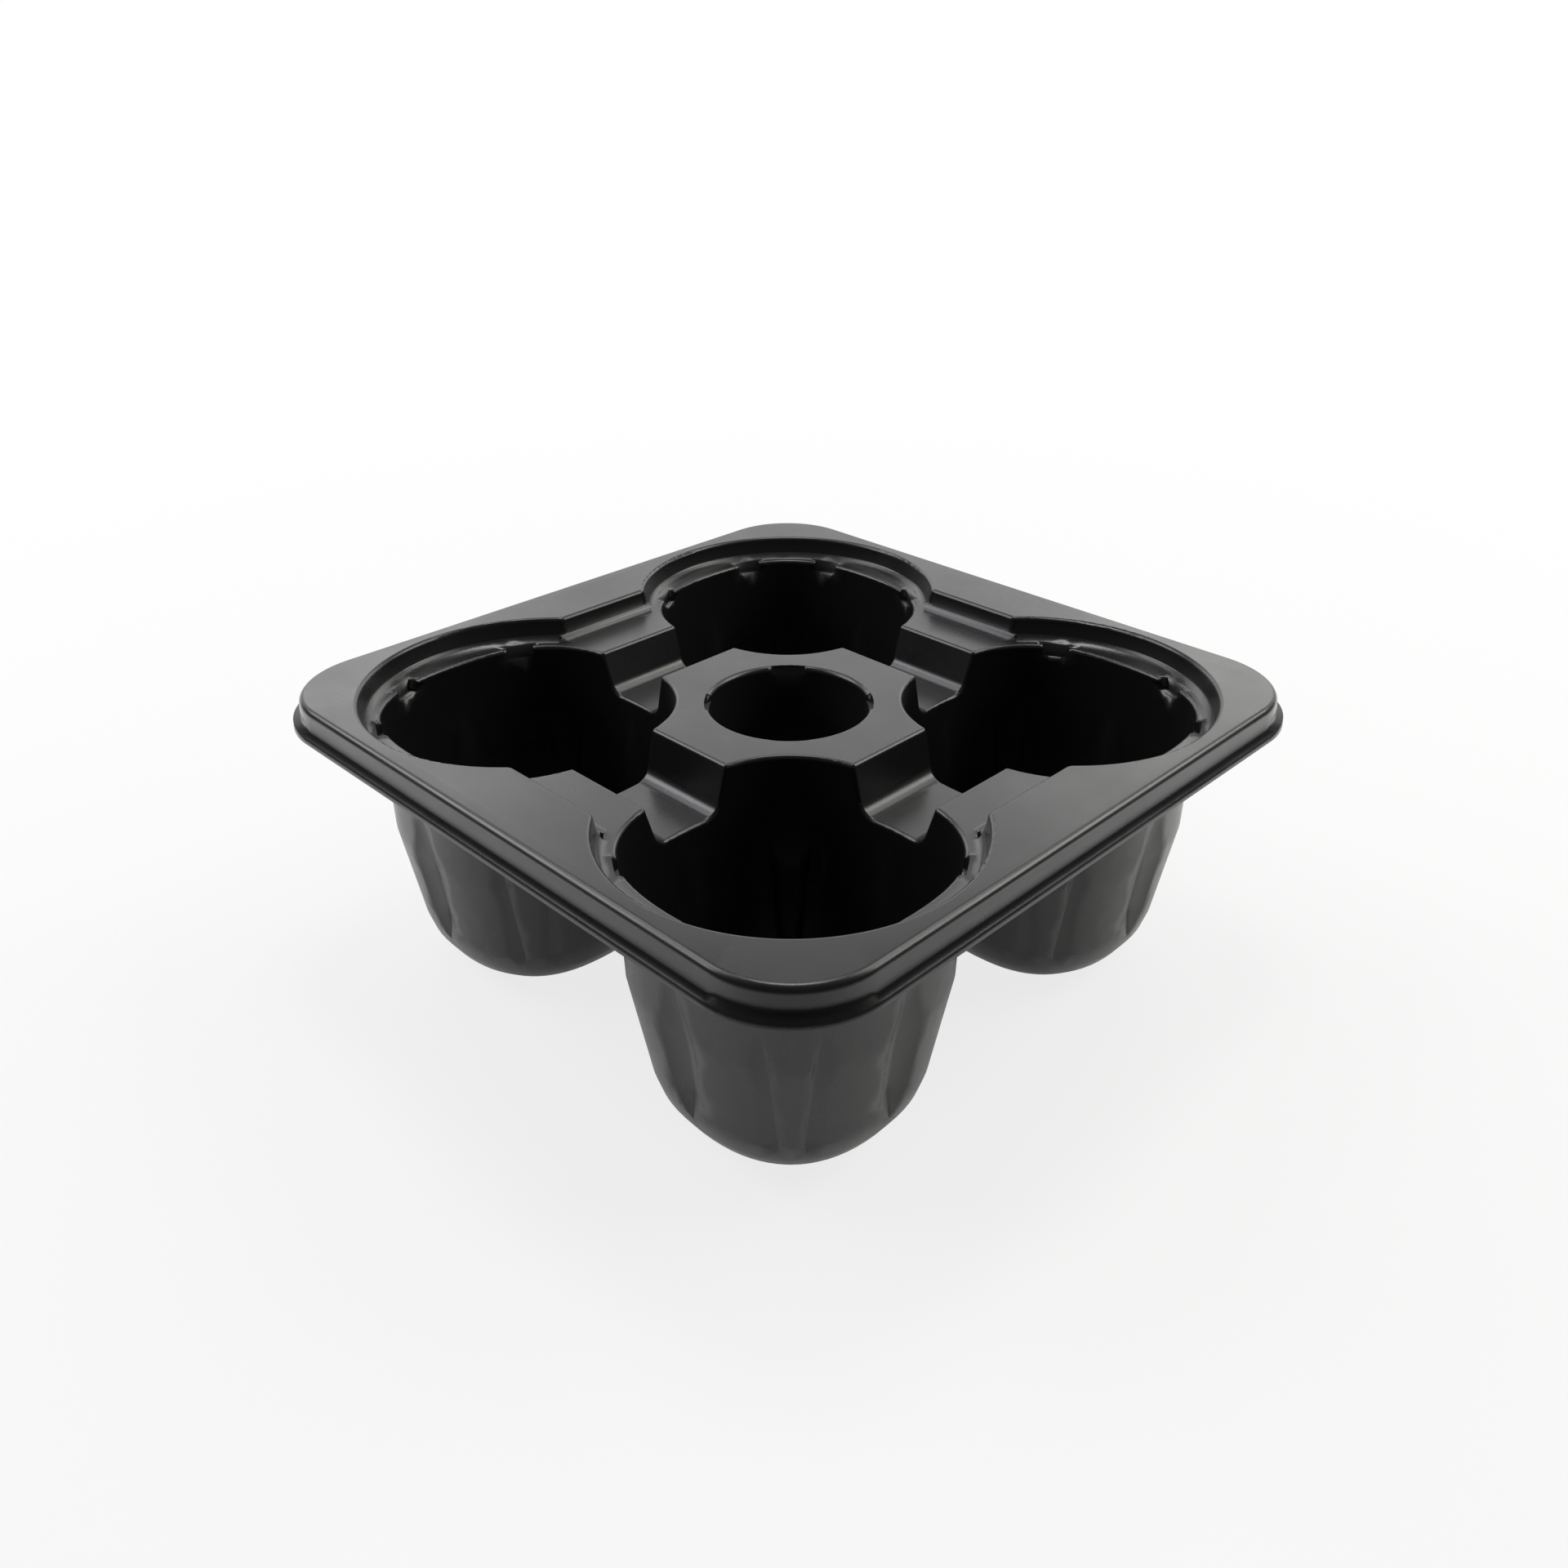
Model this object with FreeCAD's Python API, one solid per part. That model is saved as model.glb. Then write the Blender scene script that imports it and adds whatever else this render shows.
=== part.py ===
import FreeCAD, Part
import math
import os

# Four-cup carrier tray, thermoformed in one stroke from one sheet of black plastic.
# Lengths are in mm. z = 0 is the plane the four cup wells stand on, and +Z is up.
# Levels called "depth" are measured down from the top of the flange.
# Every form is drawn twice, once for the upper face of the sheet and once for the lower
# face, and the sheet is what lies between the two.

# Whole tray
trayHeight = 84.0
sheetThickness = 0.6

# Flange and rim
flangeHalfWidth = 105.0
flangeCornerRadius = 25.0
rimStripWidth = 3.6
flangeEdgeRadius = 2.0
skirtFoot = 0.35
skirtDepth = 6.4
lipReach = 2.3
lipFall = 0.15
lipSplay = 0.15
lipDepth = 8.6

# Recess inside the flange: four discs joined by a straight edge along each side. The discs
# stand a little closer together than the wells do.
recessDiscOffset = 1.0
recessDiscRadius = 47.5
recessHalfWidth = 83.7
recessCreaseRadius = 3.0
recessRimRadius = 1.3
upperWallDraft = 0.9
upperLedgeDepth = 5.1
upperLedgeWidth = 0.7
lowerWallDraft = 0.8
lowerLedgeDepth = 6.9
coveRadius = 3.6
coveHalfLength = 19.0

# Valleys that cross the bridges between neighbouring wells and run out past the well walls
shelfInnerEdge = 66.2
valleyFloorDepth = 19.6
valleyOuterFoot = 62.0
valleyInnerFoot = 41.8
valleyOuterFillet = 4.6
valleyInnerFillet = 4.6
valleyRunOut = 6.2

# Centre platform and centre well
platformDepth = 5.5
platformHalfWidth = 38.6
centreWellRadius = 23.1
centreWellFootRadius = 20.6
centreWellDepth = 52.0
centreWellCorner = 4.0
centreWellMouth = 1.5
centreNotchReach = 24.2
centreNotchWidth = 10.0
centreNotchDepth = 7.9

# Cup wells, each a square with its sides bowed out and its corners well rounded in plan.
# Half widths are across the sides; on the diagonals the wall stands out further by the gain.
# The tapers are what the half width loses from the mouth to the waist and on to the foot.
wellSpacing = 105.0
wellMouthHalfWidth = 38.7
wellWaistTaper = 0.95
wellWaistDepth = 41.0
wellFootTaper = 6.55
wellFootRounding = 17.0
wellFootSteps = 5
wellCornerGain = 2.9
wellFootCornerGain = 1.2
wellOutlinePoints = 32

# Pockets under the mouth of each cup well, which reach out past its wall
pocketWidth = 8.2
pocketBeyondWall = 3.9
pocketInsideWall = 4.7
pocketTopDepth = 4.5
pocketDepth = 10.3
pocketAngles = (-77.0, -19.5, 19.5, 77.0)

# Flutes pressed into the outside of each cup well
panelAngles = (0.0, 94.5, 180.0, 265.5)
panelTopHalfAngle = 9.7
panelTopDepth = 30.0
panelTopDrop = 0.1
panelMiddleHalfAngle = 7.3
panelMiddleDepth = 50.0
panelMiddleDrop = 0.75
panelFootHalfAngle = 5.7
panelFootDepth = 68.0
panelFootDrop = 1.3
panelInnerSlope = 35.0
panelOuterSlope = 74.0
veeAngles = (-135.0, -45.0, 45.0, 135.0)
veeTopDepth = 24.0
veeFullDepth = 46.0
veeFullDrop = 2.7
veeFootDepth = 62.0
veeFootDrop = 2.3
veeSlope = 66.0
fluteEndDepth = 71.8
fluteEndRise = 0.2

# Rounding of the edges inside the recess
bridgeEdgeRadius = 1.2

# Values that follow from those above, and how far the cutting forms reach past what they cut
up = FreeCAD.Vector(0, 0, 1)
wellCentre = wellSpacing / 2
wellWaistHalfWidth = wellMouthHalfWidth - wellWaistTaper
wellFootHalfWidth = wellWaistHalfWidth - wellFootTaper
pocketReach = wellMouthHalfWidth + pocketBeyondWall
pocketInnerReach = wellMouthHalfWidth - pocketInsideWall
valleyHalfLength = wellCentre - wellMouthHalfWidth + valleyRunOut
recessDiscSpacing = wellSpacing - recessDiscOffset
discCentre = recessDiscSpacing / 2
aboveTray = trayHeight + 2.0
belowTray = -10.0
overlap = 0.6
near = 0.01
bandInset = 4.0
bandReach = recessRimRadius + 0.2
fluteReach = 14.0
fluteRunOut = 12.0
fluteFootRun = 0.4
panelStations = ((panelTopDepth, panelTopHalfAngle, panelTopDrop),
                 (panelMiddleDepth, panelMiddleHalfAngle, panelMiddleDrop),
                 (panelFootDepth, panelFootHalfAngle, panelFootDrop),
                 (fluteEndDepth, panelFootHalfAngle, -fluteEndRise))
veeStations = ((veeTopDepth, 0.0, 0.0), (veeFullDepth, 0.0, veeFullDrop),
               (veeFootDepth, 0.0, veeFootDrop), (fluteEndDepth, 0.0, -fluteEndRise))


def level(depth):
    return trayHeight - depth


def polar(radius, angle, z=0.0):
    a = math.radians(angle)
    return FreeCAD.Vector(radius * math.cos(a), radius * math.sin(a), z)


def aroundTray(shape):
    """The same shape in each of the four quarters of the tray."""
    return [shape.rotated(FreeCAD.Vector(), up, 90 * i) for i in range(4)]


def roundedEdges(points, radii):
    """A closed outline through points in the XZ plane, with each corner rounded."""
    corners = []
    count = len(points)
    for i, point in enumerate(points):
        here = FreeCAD.Vector(point[0], 0, point[1])
        before = FreeCAD.Vector(points[i - 1][0], 0, points[i - 1][1]) - here
        after = FreeCAD.Vector(points[(i + 1) % count][0], 0, points[(i + 1) % count][1]) - here
        before.normalize()
        after.normalize()
        if radii[i] < 0.02:
            corners.append((here, here, here))
            continue
        half = before.getAngle(after) / 2
        setback = radii[i] / math.tan(half)
        middle = before + after
        middle.normalize()
        apex = here + middle * (radii[i] / math.sin(half) - radii[i])
        corners.append((here + before * setback, apex, here + after * setback))
    edges = []
    for i in range(count):
        start, apex, end = corners[i]
        if start.distanceToPoint(end) > 1e-6:
            edges.append(Part.Arc(start, apex, end).toShape())
        following = corners[(i + 1) % count][0]
        if end.distanceToPoint(following) > 1e-6:
            edges.append(Part.makeLine(end, following))
    return edges


def sectionFace(points, radii):
    return Part.Face(Part.Wire(roundedEdges(points, radii)))


def sweptStraight(face, start, end):
    """Carry a section, drawn with x outward and z up, along a straight edge."""
    along = end - start
    outward = along.cross(up)
    placed = face.copy()
    turn = math.degrees(math.atan2(outward.y, outward.x))
    placed.rotate(FreeCAD.Vector(), up, turn)
    placed.translate(FreeCAD.Vector(start.x, start.y, 0))
    return placed.extrude(along)


def sweptArc(face, centre, radius, fromAngle, toAngle, outwardSign):
    """Carry a section round an arc; outwardSign is -1 where outward is towards the centre."""
    placed = face.copy()
    if outwardSign < 0:
        placed.rotate(FreeCAD.Vector(), up, 180)
    placed.translate(FreeCAD.Vector(radius, 0, 0))
    placed.rotate(FreeCAD.Vector(), up, fromAngle)
    placed.translate(centre)
    return placed.revolve(centre, up, toAngle - fromAngle)


def roundedSquareSweep(face, halfWidth, cornerRadius):
    """Carry a section all the way round a square with rounded corners."""
    reach = halfWidth - cornerRadius
    side = sweptStraight(face, FreeCAD.Vector(-reach, -halfWidth, 0),
                         FreeCAD.Vector(reach, -halfWidth, 0))
    corner = sweptArc(face, FreeCAD.Vector(reach, -reach, 0), cornerRadius, -90, 0, 1)
    return aroundTray(side) + aroundTray(corner)


def creaseCentre():
    """Centre of the small arc that joins a disc of the recess to its straight edge."""
    far = recessHalfWidth + recessCreaseRadius
    reach = recessDiscRadius + recessCreaseRadius
    x = discCentre - math.sqrt(reach ** 2 - (far - discCentre) ** 2)
    return FreeCAD.Vector(x, -far, 0)


def recessSweep(face):
    """Carry a section all the way round the outline of the recess."""
    crease = creaseCentre()
    disc = FreeCAD.Vector(discCentre, -discCentre, 0)
    toDisc = math.degrees(math.atan2(disc.y - crease.y, disc.x - crease.x))
    discHalf = 135 - toDisc
    mirrored = FreeCAD.Vector(-crease.x, crease.y, 0)
    pieces = []
    pieces += aroundTray(sweptArc(face, disc, recessDiscRadius, -45 - discHalf, -45 + discHalf, 1))
    pieces += aroundTray(sweptStraight(face, FreeCAD.Vector(-crease.x, -recessHalfWidth, 0),
                                       FreeCAD.Vector(crease.x, -recessHalfWidth, 0)))
    pieces += aroundTray(sweptArc(face, crease, recessCreaseRadius, toDisc, 90, -1))
    pieces += aroundTray(sweptArc(face, mirrored, recessCreaseRadius, 90, 180 - toDisc, -1))
    return pieces


def recessCore(inset, bottom):
    """The plain middle of the recess, inside the stepped band that sweeps round it."""
    crease = creaseCentre()
    disc = FreeCAD.Vector(discCentre, -discCentre, 0)
    toDisc = math.degrees(math.atan2(disc.y - crease.y, disc.x - crease.x))
    small = recessCreaseRadius + inset
    start, middle, end = [crease + polar(small, a) for a in (90, (90 + toDisc) / 2, toDisc)]
    discTop = disc + polar(recessDiscRadius - inset, -45)
    startTwin, middleTwin, endTwin = [FreeCAD.Vector(-p.y, -p.x, 0) for p in (start, middle, end)]
    quarter = [Part.makeLine(FreeCAD.Vector(-start.x, start.y, 0), start),
               Part.Arc(start, middle, end).toShape(),
               Part.Arc(end, discTop, endTwin).toShape(),
               Part.Arc(endTwin, middleTwin, startTwin).toShape()]
    edges = []
    for edge in quarter:
        edges += aroundTray(edge)
    core = Part.Face(Part.Wire(Part.__sortEdges__(edges)))
    core.translate(FreeCAD.Vector(0, 0, bottom))
    return core.extrude(FreeCAD.Vector(0, 0, aboveTray - bottom))


def steppedBand(inset, growth):
    """Section of the open space over the flange edge and the two ledges."""
    top = level(growth)
    upper = level(upperLedgeDepth + growth)
    lower = level(lowerLedgeDepth + growth)
    wall = growth
    wallFoot = wall - upperWallDraft
    ledgeEdge = wallFoot - upperLedgeWidth
    ledgeFoot = ledgeEdge - lowerWallDraft
    points = [(bandReach, aboveTray), (bandReach, top), (wall, top), (wallFoot, upper),
              (ledgeEdge, upper), (ledgeFoot, lower), (-inset, lower), (-inset, aboveTray)]
    radii = [0, 0, recessRimRadius if growth == 0 else 0, 0, 0, 0, 0, 0]
    return sectionFace(points, radii)


def valley(growth):
    """Open space of one valley, lying along X between two neighbouring wells."""
    floor = level(valleyFloorDepth + growth)
    top = level(platformDepth) + overlap
    outerSlope = (shelfInnerEdge - valleyOuterFoot) / (valleyFloorDepth - lowerLedgeDepth)
    innerSlope = (valleyInnerFoot - platformHalfWidth) / (valleyFloorDepth - platformDepth)
    rise = top - level(lowerLedgeDepth)
    outerTop = shelfInnerEdge + rise * outerSlope
    innerTop = platformHalfWidth - overlap * innerSlope
    points = [(-outerTop - growth, top), (-valleyOuterFoot - growth, floor),
              (-valleyInnerFoot + growth, floor), (-innerTop + growth, top)]
    section = sectionFace(points, [0, valleyOuterFillet + growth, valleyInnerFillet + growth, 0])
    section.rotate(FreeCAD.Vector(), up, 90)
    section.translate(FreeCAD.Vector(-valleyHalfLength, 0, 0))
    return section.extrude(FreeCAD.Vector(2 * valleyHalfLength, 0, 0))


def cove(growth):
    """Filled corner between the straight wall of the recess and the shelf below it."""
    wall = recessHalfWidth - upperWallDraft - upperLedgeWidth + growth
    top = level(upperLedgeDepth + growth)
    bottom = level(lowerLedgeDepth + growth)
    radius = coveRadius + growth
    drop = top - bottom
    reach = math.sqrt(radius ** 2 - (radius - drop) ** 2)
    angle = math.acos((radius - drop) / radius) / 2
    high = FreeCAD.Vector(-wall, 0, top)
    low = FreeCAD.Vector(-wall + reach, 0, bottom)
    centre = low + FreeCAD.Vector(0, 0, radius)
    middle = centre + FreeCAD.Vector(-radius * math.sin(angle), 0, -radius * math.cos(angle))
    below = bottom - overlap
    outer = FreeCAD.Vector(-wall - overlap, 0, top)
    edges = [Part.makeLine(outer, high), Part.Arc(high, middle, low).toShape(),
             Part.makeLine(low, FreeCAD.Vector(low.x, 0, below)),
             Part.makeLine(FreeCAD.Vector(low.x, 0, below), FreeCAD.Vector(outer.x, 0, below)),
             Part.makeLine(FreeCAD.Vector(outer.x, 0, below), outer)]
    section = Part.Face(Part.Wire(edges))
    section.rotate(FreeCAD.Vector(), up, 90)
    section.translate(FreeCAD.Vector(-coveHalfLength, 0, 0))
    filled = section.extrude(FreeCAD.Vector(2 * coveHalfLength, 0, 0))
    discRadius = recessDiscRadius - upperWallDraft - upperLedgeWidth - lowerWallDraft + growth
    for side in (-1, 1):
        foot = FreeCAD.Vector(side * discCentre, -discCentre, below - overlap)
        disc = Part.makeCylinder(discRadius, top - below + 2 * overlap, foot)
        filled = filled.cut(disc)
    return filled


def wellHalfWidth(depth):
    """Half the width of a cup well across its flats at a depth, before its foot is rounded."""
    if depth < wellWaistDepth:
        share = (depth - lowerLedgeDepth) / (wellWaistDepth - lowerLedgeDepth)
        return wellMouthHalfWidth + share * (wellWaistHalfWidth - wellMouthHalfWidth)
    share = (depth - wellWaistDepth) / (trayHeight - wellWaistDepth)
    return wellWaistHalfWidth + share * (wellFootHalfWidth - wellWaistHalfWidth)


def cornerGain(depth):
    """How much further a cup well reaches on its diagonals than across its sides."""
    share = max(0, depth - wellWaistDepth) / (trayHeight - wellWaistDepth)
    return wellCornerGain + share * (wellFootCornerGain - wellCornerGain)


def wallReach(half, depth, angle):
    """Reach of a cup well from its axis, where its sides are half a width away, at an angle
    counted from the outward diagonal."""
    return half + cornerGain(depth) * (1 + math.cos(math.radians(4 * angle))) / 2


def flute(stations, slopes, growth):
    """A groove in the outside of a well. Its crease runs through stations of (depth, angle,
    drop) and past both ends; its sides lean away from the radial line by slopes."""
    heading = stations[1][1]
    sides = [polar(1, heading + slopes[0]), polar(1, heading - slopes[1])]
    normals = [polar(1, heading + slopes[0] - 90), polar(1, heading - slopes[1] + 90)]
    inward = (normals[0] + normals[1]) * (-1 / (1 + normals[0].dot(normals[1])))
    shift = inward * (sheetThickness - growth)
    creases = []
    for depth, angle, drop in stations:
        outside = wallReach(sheetThickness + wellHalfWidth(depth), depth, angle)
        creases.append(polar(outside - drop, angle, level(depth)) + shift)
    creases[0] += (creases[0] - creases[1]) * (fluteRunOut / (creases[0].z - creases[1].z))
    creases[-1] += (creases[-1] - creases[-2]) * fluteFootRun
    pieces = []
    for start, end in zip(creases, creases[1:]):
        triangle = Part.makePolygon([start, start + sides[0] * fluteReach,
                                     start + sides[1] * fluteReach, start])
        pieces.append(Part.Face(triangle).extrude(end - start))
    return pieces[0].multiFuse(pieces[1:])


def wellFlutes(growth):
    grooves = []
    for middle in panelAngles:
        for side in (-1, 1):
            stations = [(d, middle + side * a, drop) for d, a, drop in panelStations]
            slopes = (panelInnerSlope, panelOuterSlope)
            if side > 0:
                slopes = (panelOuterSlope, panelInnerSlope)
            grooves.append(flute(stations, slopes, growth))
    for middle in veeAngles:
        stations = [(d, middle + a, drop) for d, a, drop in veeStations]
        grooves.append(flute(stations, (veeSlope, veeSlope), growth))
    return grooves


def wellProfile(growth):
    """Half width and height of the open space of a cup well, from over its mouth to its floor."""
    floor = sheetThickness - growth
    slope = (wellMouthHalfWidth - wellWaistHalfWidth) / (wellWaistDepth - lowerLedgeDepth)
    top = wellMouthHalfWidth + (lowerLedgeDepth + aboveTray - trayHeight) * slope
    points = [(top + growth, aboveTray), (wellWaistHalfWidth + growth, level(wellWaistDepth))]
    lean = math.atan2(wellWaistHalfWidth - wellFootHalfWidth, trayHeight - wellWaistDepth)
    radius = wellFootRounding + growth
    middle = wellFootHalfWidth + growth - radius * math.tan(math.pi / 4 - lean / 2)
    turn = math.pi / 2 - lean
    for step in range(wellFootSteps + 1):
        angle = lean + turn * step / wellFootSteps
        points.append((middle + radius * math.cos(angle), floor + radius - radius * math.sin(angle)))
    return points


def wellOutline(half, z):
    """Outline of a cup well at one height, with its outward diagonal along +X."""
    angles = [360 * i / wellOutlinePoints for i in range(wellOutlinePoints)]
    curve = Part.BSplineCurve()
    curve.interpolate([polar(wallReach(half, trayHeight - z, a), a, z) for a in angles],
                      PeriodicFlag=True)
    return Part.Wire(curve.toShape())


def cupWell(growth):
    """Open space of one cup well, drawn at the origin with its outward diagonal along +X."""
    outlines = [wellOutline(half, z) for half, z in wellProfile(growth)]
    return Part.makeLoft(outlines, True, True).cut(wellFlutes(growth))


def wellPockets(growth):
    pockets = []
    for angle in pocketAngles:
        half = pocketWidth / 2 + growth
        bottom = level(pocketDepth + growth)
        length = pocketReach + growth - pocketInnerReach
        pocket = Part.makeBox(length, 2 * half, level(pocketTopDepth) - bottom,
                              FreeCAD.Vector(pocketInnerReach, -half, bottom))
        pockets.append(pocket.rotated(FreeCAD.Vector(), up, angle))
    return pockets[0].multiFuse(pockets[1:])


def atWells(shape):
    """A shape drawn for a well at the origin, put in place in all four wells."""
    placed = shape.rotated(FreeCAD.Vector(), up, -45)
    placed.translate(FreeCAD.Vector(wellCentre, -wellCentre, 0))
    return aroundTray(placed)


def centreWell(growth):
    floor = level(centreWellDepth + growth)
    top = level(platformDepth) + overlap
    slope = (centreWellRadius - centreWellFootRadius) / (centreWellDepth - platformDepth)
    foot = centreWellFootRadius + growth
    points = [(0, top), (centreWellRadius + growth + slope * overlap, top),
              (foot, floor + centreWellCorner), (foot - centreWellCorner, floor), (0, floor)]
    section = sectionFace(points, [0, 0, 0, 0, 0])
    return section.revolve(FreeCAD.Vector(), up, 360)


def centreNotches(growth):
    half = centreNotchWidth / 2 + growth
    bottom = level(centreNotchDepth + growth)
    height = level(platformDepth) + overlap - bottom
    reach = centreNotchReach + growth
    disc = Part.makeCylinder(reach, height, FreeCAD.Vector(0, 0, bottom))
    bar = Part.makeBox(2 * reach, 2 * half, height, FreeCAD.Vector(-reach, -half, bottom))
    bars = [bar.rotated(FreeCAD.Vector(), up, a) for a in (45, 135)]
    return disc.common(bars[0].fuse(bars[1]))


def isOnWellWall(points):
    """Whether points lie on the inside wall of one of the four cup wells."""
    for x, y in [(a * wellCentre, b * wellCentre) for a in (-1, 1) for b in (-1, 1)]:
        outward = math.degrees(math.atan2(y, x))
        gaps = []
        for p in points:
            angle = math.degrees(math.atan2(p.y - y, p.x - x)) - outward
            depth = trayHeight - p.z
            reach = wallReach(wellHalfWidth(depth), depth, angle)
            gaps.append(abs(math.hypot(p.x - x, p.y - y) - reach))
        if max(gaps) < 10 * near:
            return True
    return False


def bridgeEdges(block):
    """Edges where the shelves, the valleys and the centre platform drop into the wells, and
    where the shelves and the platform drop into the valleys."""
    chosen = []
    for edge in block.Edges:
        points = edge.discretize(5)
        depths = [trayHeight - p.z for p in points]
        if min(depths) < platformDepth - near or max(depths) > valleyFloorDepth + overlap:
            continue
        out = max(abs(edge.CenterOfMass.x), abs(edge.CenterOfMass.y))
        flat = max(depths) - min(depths) < near
        onShelf = flat and abs(depths[0] - lowerLedgeDepth) < near and abs(out - shelfInnerEdge) < near
        onPlatform = flat and abs(depths[0] - platformDepth) < near and abs(out - platformHalfWidth) < near
        if onShelf or onPlatform or isOnWellWall(points):
            chosen.append(edge)
    return chosen


def formedBlock(growth):
    """The solid that lies under one face of the sheet: growth is 0 for the upper face and
    the sheet's thickness for the lower face."""
    inner = flangeHalfWidth - rimStripWidth
    corner = flangeCornerRadius - rimStripWidth
    block = Part.makeBox(2 * inner, 2 * inner, level(growth) - belowTray,
                         FreeCAD.Vector(-inner, -inner, belowTray))
    upright = [e for e in block.Edges if e.BoundBox.ZLength > trayHeight]
    block = block.makeFillet(corner, upright)
    band = recessSweep(steppedBand(bandInset, growth))
    core = recessCore(bandInset, level(lowerLedgeDepth + growth))
    recess = core.multiFuse(band)
    block = block.cut(recess)
    reach = valleyInnerFoot + overlap
    foot = level(valleyFloorDepth + growth + overlap)
    island = Part.makeBox(2 * reach, 2 * reach, level(platformDepth + growth) - foot,
                          FreeCAD.Vector(-reach, -reach, foot))
    block = block.multiFuse([island] + aroundTray(cove(growth)))
    block = block.cut(aroundTray(valley(growth)) + atWells(cupWell(growth)) + [centreWell(growth)])
    block = block.Solids[0]
    mouth = [e for e in block.Edges if e.BoundBox.ZLength < near
             and abs(e.CenterOfMass.z - level(platformDepth + growth)) < near
             and max(math.hypot(p.x, p.y) for p in e.discretize(5)) < centreNotchReach]
    if growth == 0:
        block = block.makeFillet(bridgeEdgeRadius, bridgeEdges(block))
    block = block.makeFillet(centreWellMouth - growth, mouth)
    return block.cut(atWells(wellPockets(growth)) + [centreNotches(growth)])


def rimSection():
    """Section of the sheet through the rim: flange edge, skirt band, step and free lip."""
    t = sheetThickness
    foot = level(skirtDepth)
    free = level(lipDepth)
    outer = [(-rimStripWidth, trayHeight), (0, trayHeight), (skirtFoot, foot),
             (lipReach, foot - lipFall), (lipReach + lipSplay, free)]
    inner = [(lipReach + lipSplay - t, free), (lipReach - t, foot - lipFall - t), (skirtFoot - t, foot - t),
             (-t, trayHeight - t), (-rimStripWidth, trayHeight - t)]
    radii = [0, flangeEdgeRadius, 0, 0, 0, 0, 0, 0, 0, 0]
    return sectionFace(outer + inner, radii)


upper = formedBlock(0.0)
lower = formedBlock(sheetThickness)
sheet = upper.cut(lower)
rim = roundedSquareSweep(rimSection(), flangeHalfWidth, flangeCornerRadius)
tray = sheet.multiFuse(rim).removeSplitter()

os.makedirs("parts", exist_ok=True)
tray.Solids[0].exportStep("parts/carrier_tray.step")
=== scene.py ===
import math

import bmesh
import bpy
from mathutils import Matrix, Vector


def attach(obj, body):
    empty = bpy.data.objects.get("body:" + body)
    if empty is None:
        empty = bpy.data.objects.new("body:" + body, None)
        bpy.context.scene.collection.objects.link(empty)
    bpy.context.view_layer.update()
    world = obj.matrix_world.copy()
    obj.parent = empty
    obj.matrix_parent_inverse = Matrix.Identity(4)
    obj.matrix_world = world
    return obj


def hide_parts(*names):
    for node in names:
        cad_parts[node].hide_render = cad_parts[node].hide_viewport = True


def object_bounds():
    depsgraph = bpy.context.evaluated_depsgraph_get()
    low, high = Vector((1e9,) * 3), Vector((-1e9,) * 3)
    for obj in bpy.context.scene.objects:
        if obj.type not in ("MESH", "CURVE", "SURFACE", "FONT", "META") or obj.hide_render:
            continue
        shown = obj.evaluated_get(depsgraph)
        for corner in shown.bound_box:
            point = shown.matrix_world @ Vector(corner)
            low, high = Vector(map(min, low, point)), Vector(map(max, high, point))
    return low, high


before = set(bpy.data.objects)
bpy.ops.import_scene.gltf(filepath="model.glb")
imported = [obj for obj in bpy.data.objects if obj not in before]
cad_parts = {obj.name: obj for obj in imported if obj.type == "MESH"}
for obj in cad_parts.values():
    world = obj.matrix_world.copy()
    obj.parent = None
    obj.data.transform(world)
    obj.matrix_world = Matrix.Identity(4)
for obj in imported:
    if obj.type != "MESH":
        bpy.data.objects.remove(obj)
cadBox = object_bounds()
low, high = Vector(cadBox[0]), Vector(cadBox[1])
middle = (low + high) / 2
print("frame loaded, tray is", [round(1000 * side, 1) for side in high - low], "mm")

# plain display, so that the floor's white stays white
bpy.context.scene.view_settings.view_transform = "Standard"


# camera

cameraSetting = {
    "azimuth": 44.68,       # degrees round the tray, from its front
    "rise": 25.82,          # degrees above the top of the flange
    "distance": 0.40742,    # metres to the middle of the flange's top
    "lens": 32.91,          # millimetres, as is the sensor's width
    "sensorWidth": 36,
    "shift": (-0.0031, -0.0639),
    "clipStart": 0.01,
}


def outward(azimuth, rise):
    turn, lift = math.radians(azimuth), math.radians(rise)
    level = math.cos(lift)
    return Vector((math.sin(turn) * level, -math.cos(turn) * level, math.sin(lift)))


def aimed(thing, target, way, distance):
    thing.location = target + way * distance
    thing.rotation_euler = (-way).to_track_quat("-Z", "Y").to_euler()
    bpy.context.scene.collection.objects.link(thing)


def addCamera(setting):
    data = bpy.data.cameras.new("trayCamera")
    data.lens = setting["lens"]
    data.sensor_width = setting["sensorWidth"]
    data.shift_x, data.shift_y = setting["shift"]
    data.clip_start = setting["clipStart"]
    camera = bpy.data.objects.new("trayCamera", data)
    way = outward(setting["azimuth"], setting["rise"])
    aimed(camera, Vector((0, 0, high.z)), way, setting["distance"])
    bpy.context.scene.camera = camera


addCamera(cameraSetting)
print("camera placed")


# small helpers for materials

def newMaterial(name):
    material = bpy.data.materials.new(name)
    material.use_nodes = True
    nodes = material.node_tree.nodes
    return material, nodes, material.node_tree.links, nodes["Principled BSDF"]


def addNode(nodes, kind, label, **settings):
    node = nodes.new(kind)
    node.label = label
    for key, value in settings.items():
        setattr(node, key, value)
    return node


def addNoise(nodes, links, place, label, scale, detail, roughness=0.5):
    noise = addNode(nodes, "ShaderNodeTexNoise", label)
    noise.inputs["Scale"].default_value = scale
    noise.inputs["Detail"].default_value = detail
    noise.inputs["Roughness"].default_value = roughness
    links.new(place, noise.inputs["Vector"])
    return noise.outputs["Fac"]


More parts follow.
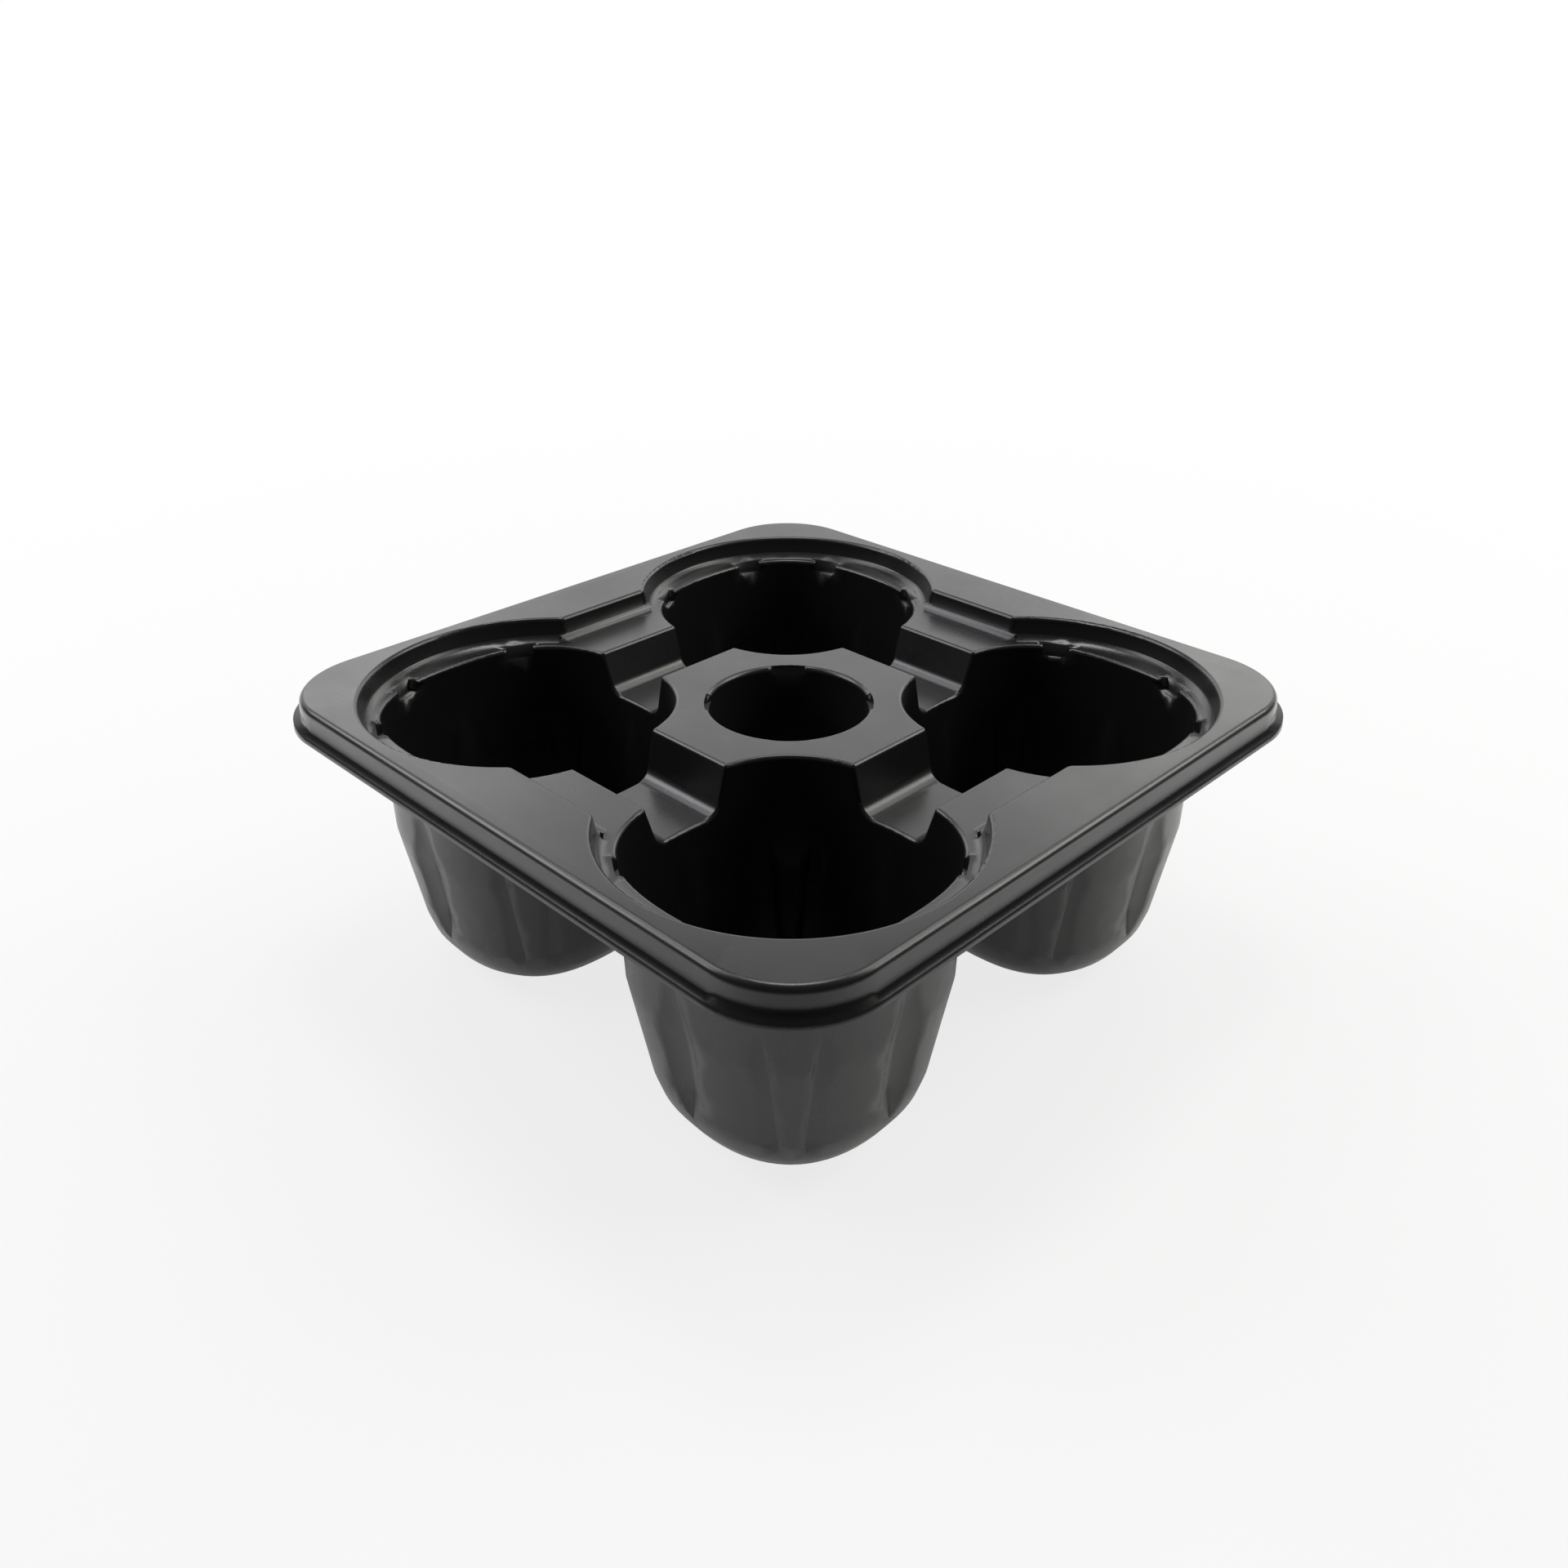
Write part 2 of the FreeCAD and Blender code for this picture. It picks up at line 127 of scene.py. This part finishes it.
# the value, carried from the one pair of limits to the other
def addRange(nodes, links, value, label, limits, results):
    remap = addNode(nodes, "ShaderNodeMapRange", label)
    names = ("From Min", "From Max", "To Min", "To Max")
    for name, number in zip(names, (*limits, *results)):
        remap.inputs[name].default_value = number
    links.new(value, remap.inputs["Value"])
    return remap.outputs["Result"]


def addMath(nodes, links, label, operation, first, second):
    node = addNode(nodes, "ShaderNodeMath", label, operation=operation)
    links.new(first, node.inputs[0])
    links.new(second, node.inputs[1])
    return node.outputs[0]


def addBump(nodes, links, label, height, strength, depth):
    bump = addNode(nodes, "ShaderNodeBump", label)
    bump.inputs["Strength"].default_value = strength
    bump.inputs["Distance"].default_value = depth
    links.new(height, bump.inputs["Height"])
    return bump


# smooth-shaded object from a finished bmesh, in the scene
def objectFrom(shape, name, material):
    mesh = bpy.data.meshes.new(name)
    shape.to_mesh(mesh)
    shape.free()
    for face in mesh.polygons:
        face.use_smooth = True
    mesh.materials.append(material)
    thing = bpy.data.objects.new(name, mesh)
    bpy.context.scene.collection.objects.link(thing)
    return thing


# formed plastic of the tray

plasticSetting = {
    "colour": (0.0098, 0.0100, 0.0105),
    "dustColour": (0.026, 0.026, 0.027),
    "ior": 1.56,
    "roughness": (0.25, 0.33),
    "smudgeScale": 38,           # scales are per metre
    "smudgeDetail": 5,
    "smudgeRoughness": 0.6,
    "smudgeLimits": (0.3, 0.7),
    "dustScale": 420,
    "dustCore": (0.05, 0.09),    # specks fill their cells out to the first and fade to the second
    "dustWhereScale": 120,
    "dustWhere": (0.62, 0.70),   # higher leaves fewer specks
    "grainScale": 5200,          # the fine tooth left by the blasted mould
    "grainStrength": 0.5,
    "grainDepth": 0.00002,
    "waveScale": 55,             # slow unevenness of the drawn sheet
    "waveStrength": 0.35,
    "waveDepth": 0.00010,
    "detail": 2,                 # of the dust, grain and waves
}


def formedPlastic(setting):
    material, nodes, links, shader = newMaterial("formedPlastic")
    shader.inputs["IOR"].default_value = setting["ior"]
    place = nodes.new("ShaderNodeTexCoord").outputs["Object"]

    smudge = addNoise(nodes, links, place, "handling marks", setting["smudgeScale"],
                      setting["smudgeDetail"], setting["smudgeRoughness"])
    gloss = addRange(nodes, links, smudge, "gloss", setting["smudgeLimits"], setting["roughness"])
    links.new(gloss, shader.inputs["Roughness"])

    # sparse dust: only the core of a few cells shows
    cells = addNode(nodes, "ShaderNodeTexVoronoi", "dust cells")
    cells.inputs["Scale"].default_value = setting["dustScale"]
    links.new(place, cells.inputs["Vector"])
    core = addRange(nodes, links, cells.outputs["Distance"], "speck", setting["dustCore"], (1, 0))
    where = addNoise(nodes, links, place, "where dust lies", setting["dustWhereScale"],
                     setting["detail"])
    few = addRange(nodes, links, where, "few specks", setting["dustWhere"], (0, 1))
    colour = addNode(nodes, "ShaderNodeMix", "plastic and dust", data_type="RGBA")
    colour.inputs["A"].default_value = (*setting["colour"], 1)
    colour.inputs["B"].default_value = (*setting["dustColour"], 1)
    links.new(addMath(nodes, links, "dust", "MULTIPLY", core, few), colour.inputs["Factor"])
    links.new(colour.outputs["Result"], shader.inputs["Base Color"])

    grain = addNoise(nodes, links, place, "mould grain", setting["grainScale"], setting["detail"])
    wave = addNoise(nodes, links, place, "drawn sheet", setting["waveScale"], setting["detail"])
    softWave = addBump(nodes, links, "drawn sheet", wave,
                       setting["waveStrength"], setting["waveDepth"])
    tooth = addBump(nodes, links, "mould grain", grain,
                    setting["grainStrength"], setting["grainDepth"])
    links.new(softWave.outputs["Normal"], tooth.inputs["Normal"])
    links.new(tooth.outputs["Normal"], shader.inputs["Normal"])
    return material


# tray

traySetting = {
    "node": "carrier_tray",
    "mergeDistance": 0.00001,
    "sharpAngle": 38,       # degrees; softer folds than this shade smoothly
}


def addTray(setting, material):
    shape = bmesh.new()
    shape.from_mesh(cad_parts[setting["node"]].data)
    bmesh.ops.remove_doubles(shape, verts=shape.verts, dist=setting["mergeDistance"])
    tray = objectFrom(shape, "formedTray", material)
    tray.data.set_sharp_from_angle(angle=math.radians(setting["sharpAngle"]))
    flats = tray.modifiers.new("flatsStayFlat", "WEIGHTED_NORMAL")
    flats.mode = "FACE_AREA_WITH_ANGLE"
    flats.keep_sharp = True
    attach(tray, "root")
    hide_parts(setting["node"])
    return tray


tray = addTray(traySetting, formedPlastic(plasticSetting))
print("tray formed,", len(tray.data.polygons), "faces")


# studio sweep: floor that curves up into a backdrop behind the tray

sweepSetting = {
    "halfWidth": 3.0,
    "front": 3.0,                    # metres of floor towards the viewer
    "back": 1.3,
    "bend": 0.9,                     # radius of the curve up to the wall
    "bendSteps": 24,
    "wall": 1.0,
    "turn": 45,                      # degrees; the wall faces the camera
    "colour": (0.82, 0.82, 0.82),
    "roughness": 0.9,
    "specular": 0.1,
    "whiteShare": (0.8, 1.0),        # how far it shows plain white: near the tray, far from it
    "whiteReach": (0.25, 0.60),      # metres over which the one becomes the other
    "mirrored": (0.34, 1.0),         # painted glow added to it in the gloss of the tray only, standing in for light pools from the side lamps
    "mirrorReach": (0.16, 0.40),
    "viewerSide": (-0.28, -0.14),    # nothing is added to the floor in front of the viewer
}


def sweepPaper(setting):
    material, nodes, links, shader = newMaterial("sweepPaper")
    shader.inputs["Base Color"].default_value = (*setting["colour"], 1)
    shader.inputs["Roughness"].default_value = setting["roughness"]
    shader.inputs["Specular IOR Level"].default_value = setting["specular"]
    rays = nodes.new("ShaderNodeLightPath").outputs
    place = nodes.new("ShaderNodeTexCoord").outputs["Object"]
    far = addNode(nodes, "ShaderNodeVectorMath", "distance from the tray", operation="LENGTH")
    links.new(place, far.inputs[0])

    # what the camera sees: mostly plain white, with some of the tray's shadow
    share = addRange(nodes, links, far.outputs["Value"], "share of white",
                     setting["whiteReach"], setting["whiteShare"])
    seen = addMath(nodes, links, "only as seen", "MULTIPLY", share, rays["Is Camera Ray"])
    white = nodes.new("ShaderNodeEmission")
    paper = nodes.new("ShaderNodeMixShader")
    links.new(seen, paper.inputs["Fac"])
    links.new(shader.outputs[0], paper.inputs[1])
    links.new(white.outputs[0], paper.inputs[2])

    # painted glow that the tray mirrors, standing in for light pools from the side lamps:
    # brighter further out, and nothing more at the viewer
    mirror = addMath(nodes, links, "mirrored", "ADD",
                     rays["Is Glossy Ray"], rays["Is Transmission Ray"])
    bright = addRange(nodes, links, far.outputs["Value"], "mirrored white",
                      setting["mirrorReach"], setting["mirrored"])
    depth = addNode(nodes, "ShaderNodeVectorMath", "depth away from the viewer",
                    operation="DOT_PRODUCT")
    depth.inputs[1].default_value = -outward(cameraSetting["azimuth"], 0)
    links.new(place, depth.inputs[0])
    beyond = addRange(nodes, links, depth.outputs["Value"], "beyond the viewer",
                      setting["viewerSide"], (0, 1))
    side = addMath(nodes, links, "not at the viewer", "MULTIPLY", bright, beyond)
    strength = addMath(nodes, links, "only as mirrored", "MULTIPLY", mirror, side)
    # the sweep glows here though it is no lamp: painted light, seen only in the tray's gloss
    glow = nodes.new("ShaderNodeEmission")
    links.new(strength, glow.inputs["Strength"])

    both = nodes.new("ShaderNodeAddShader")
    links.new(paper.outputs[0], both.inputs[0])
    links.new(glow.outputs[0], both.inputs[1])
    links.new(both.outputs[0], nodes["Material Output"].inputs["Surface"])
    return material


def addSweep(setting, material):
    shape = bmesh.new()
    bmesh.ops.create_grid(shape, x_segments=1, y_segments=1, size=1)
    back, length = setting["back"], setting["front"] + setting["back"]
    bmesh.ops.scale(shape, verts=shape.verts, vec=(setting["halfWidth"], length / 2, 1))
    bmesh.ops.translate(shape, verts=shape.verts, vec=(0, back - length / 2, 0))
    rear = [edge for edge in shape.edges if all(vert.co.y > 0 for vert in edge.verts)]
    bent = bmesh.ops.spin(shape, geom=rear, cent=(0, back, setting["bend"]), axis=(1, 0, 0),
                          angle=math.radians(90), steps=setting["bendSteps"])
    top = [piece for piece in bent["geom_last"] if isinstance(piece, bmesh.types.BMEdge)]
    raised = bmesh.ops.extrude_edge_only(shape, edges=top)["geom"]
    newVerts = [piece for piece in raised if isinstance(piece, bmesh.types.BMVert)]
    bmesh.ops.translate(shape, verts=newVerts, vec=(0, 0, setting["wall"]))
    turn = Matrix.Rotation(math.radians(setting["turn"]), 3, "Z")
    bmesh.ops.rotate(shape, verts=shape.verts, matrix=turn)
    bmesh.ops.recalc_face_normals(shape, faces=shape.faces)
    sweep = objectFrom(shape, "studioSweep", material)


addSweep(sweepSetting, sweepPaper(sweepSetting))
print("sweep laid")


# lamps and world: softboxes round the back and the sides, little from the viewer's side

lampDistance = 1.1
lampSetting = {
    # azimuth and rise in degrees, width and height in metres, brightness of its face, tint
    "back": (225, 30, 0.60, 0.45, 0.55, (1.0, 1.0, 1.0)),
    "backLeft": (255, 28, 0.45, 0.40, 1.6, (0.97, 0.97, 1.0)),
    "backRight": (195, 28, 0.45, 0.40, 1.65, (1.0, 1.0, 0.96)),
    "sideLeft": (305, 36, 0.60, 0.30, 6.5, (0.97, 0.96, 1.0)),
    "sideRight": (145, 36, 0.60, 0.30, 6.5, (1.0, 1.0, 0.95)),
    "highLeft": (290, 56, 0.60, 0.30, 4.0, (0.97, 0.96, 1.0)),
    "highRight": (160, 56, 0.60, 0.30, 4.0, (1.0, 1.0, 0.95)),
    "overhead": (225, 76, 0.34, 0.34, 9.0, (1.0, 1.0, 1.0)),
}
roomShade = 0.06
plainWhite = (1, 1, 1, 1)


def addLamps(setting):
    for name, (azimuth, rise, width, height, brightness, tint) in setting.items():
        data = bpy.data.lights.new(name, "AREA")
        data.color = tint
        data.shape = "RECTANGLE"
        data.size, data.size_y = width, height
        data.energy = math.pi * width * height * brightness
        lamp = bpy.data.objects.new(name, data)
        aimed(lamp, middle, outward(azimuth, rise), lampDistance)


# white where the camera looks past the sweep, a dim room for everything else
def addWorld(shade):
    world = bpy.data.worlds.new("studioRoom")
    world.use_nodes = True
    bpy.context.scene.world = world
    nodes, links = world.node_tree.nodes, world.node_tree.links
    room = nodes["Background"]
    room.inputs["Color"].default_value = plainWhite
    room.inputs["Strength"].default_value = shade
    white = nodes.new("ShaderNodeBackground")
    white.inputs["Color"].default_value = plainWhite
    rays = nodes.new("ShaderNodeLightPath")
    mixed = nodes.new("ShaderNodeMixShader")
    links.new(rays.outputs["Is Camera Ray"], mixed.inputs["Fac"])
    links.new(room.outputs[0], mixed.inputs[1])
    links.new(white.outputs[0], mixed.inputs[2])
    links.new(mixed.outputs[0], nodes["World Output"].inputs["Surface"])


addLamps(lampSetting)
addWorld(roomShade)
print("lamps hung")
